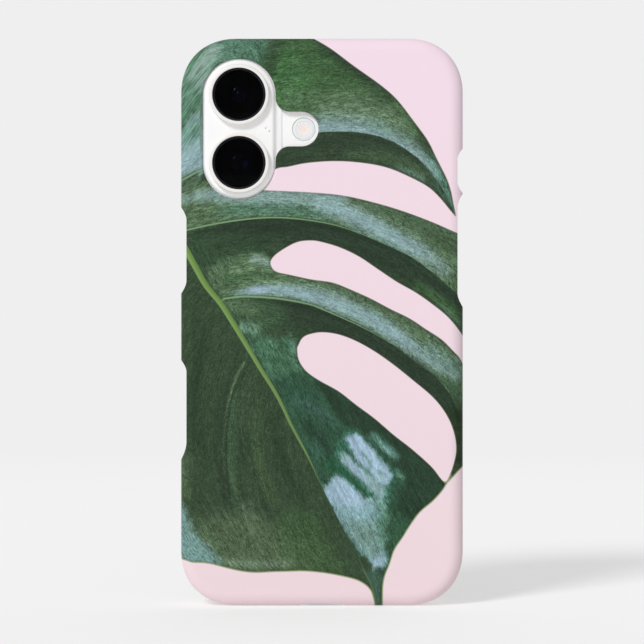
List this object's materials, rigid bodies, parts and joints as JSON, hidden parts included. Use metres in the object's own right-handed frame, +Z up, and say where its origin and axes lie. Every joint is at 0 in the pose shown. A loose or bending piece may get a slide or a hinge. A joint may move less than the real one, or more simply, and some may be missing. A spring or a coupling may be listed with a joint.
{
  "type": "smartphone in a slim printed hard case",
  "caption": "Slim hard phone case printed with a green monstera leaf on pink, snapped over a white smartphone with a raised pill-shaped twin camera.",
  "frame": {"origin": "centre of the footprint of the upright phone and case, on the surface that its lower edge rests on", "axes": "+Z up along the long side, -Y out of the back of the case, +Y out of the screen, +X to the right seen from the back"},
  "size_m": [0.075, 0.012, 0.1511],
  "materials": {
    "printed_shell": "hard polycarbonate shell, satin, printed all over: pale pink ground with a deep green monstera leaf",
    "frame_metal": "fine bead-blasted aluminium, anodised in a warm white",
    "back_glass": "white back glass with a soft matte etch",
    "cover_glass": "polished cover glass",
    "black_ink": "black ink border under the cover glass",
    "display": "display that is switched off, near black",
    "dark_mesh": "fine dark woven mesh",
    "black_plastic": "black moulded plastic",
    "lens_ring": "warm white anodised ring with a machined edge",
    "lens_glass": "polished sapphire cover, coated",
    "coated_lens": "blue-coated lens element",
    "flash_diffuser": "clear ribbed diffuser, slightly blue",
    "led_phosphor": "pale yellow phosphor",
    "steel": "bright stainless steel",
    "coil_wire": "enamelled copper wire",
    "break_resin": "warm white resin, flush with the frame",
    "battery_wrap": "matt black foil pouch",
    "circuit_board": "green solder mask"
  },
  "bodies": {
    "phone_in_case": {"case_shell": "printed_shell", "mid_frame": "frame_metal", "back_glass": "back_glass", "front_glass": "cover_glass", "bezel_mask": "black_ink", "display_panel": "display", "earpiece_mesh": "dark_mesh", "front_camera": "black_plastic", "lens_ring_upper": "lens_ring", "lens_ring_lower": "lens_ring", "lens_cover_upper": "lens_glass", "lens_cover_lower": "lens_glass", "camera_module_upper": "black_plastic", "camera_module_lower": "black_plastic", "lens_element_upper": "coated_lens", "lens_element_lower": "coated_lens", "flash_window": "flash_diffuser", "flash_led": "led_phosphor", "usb_receptacle": "steel", "usb_tongue": "black_plastic", "bottom_screw_left": "steel", "bottom_screw_right": "steel", "charging_coil": "coil_wire", "magnet_ring": "steel", "antenna_break_top": "break_resin", "antenna_break_left_low": "break_resin", "antenna_break_left_high": "break_resin", "antenna_break_right_low": "break_resin", "antenna_break_right_high": "break_resin", "side_switch": "steel", "camera_control_switch": "steel", "action_switch": "steel", "volume_up_switch": "steel", "volume_down_switch": "steel", "battery": "battery_wrap", "logic_board": "circuit_board", "shield_can_processor": "steel", "shield_can_modem": "steel", "shield_can_memory": "steel", "loudspeaker": "black_plastic", "haptic_motor": "steel", "bottom_microphone": "steel", "earpiece_speaker": "black_plastic", "rear_microphone": "steel"},
    "side_button": {"side_button": "frame_metal"},
    "camera_control": {"camera_control": "frame_metal"},
    "action_button": {"action_button": "frame_metal"},
    "volume_up_button": {"volume_up_button": "frame_metal"},
    "volume_down_button": {"volume_down_button": "frame_metal"}
  },
  "joints": [
    {"name": "side_press", "type": "slide", "parent": "phone_in_case", "child": "side_button", "axis": [1, 0, 0], "range_m": [0, 0.0003], "stiffness_N_per_m": 4000},
    {"name": "camera_control_press", "type": "slide", "parent": "phone_in_case", "child": "camera_control", "axis": [1, 0, 0], "range_m": [0, 0.0002], "stiffness_N_per_m": 4000},
    {"name": "action_press", "type": "slide", "parent": "phone_in_case", "child": "action_button", "axis": [-1, 0, 0], "range_m": [0, 0.0003], "stiffness_N_per_m": 4000},
    {"name": "volume_up_press", "type": "slide", "parent": "phone_in_case", "child": "volume_up_button", "axis": [-1, 0, 0], "range_m": [0, 0.0003], "stiffness_N_per_m": 4000},
    {"name": "volume_down_press", "type": "slide", "parent": "phone_in_case", "child": "volume_down_button", "axis": [-1, 0, 0], "range_m": [0, 0.0003], "stiffness_N_per_m": 4000}
  ]
}
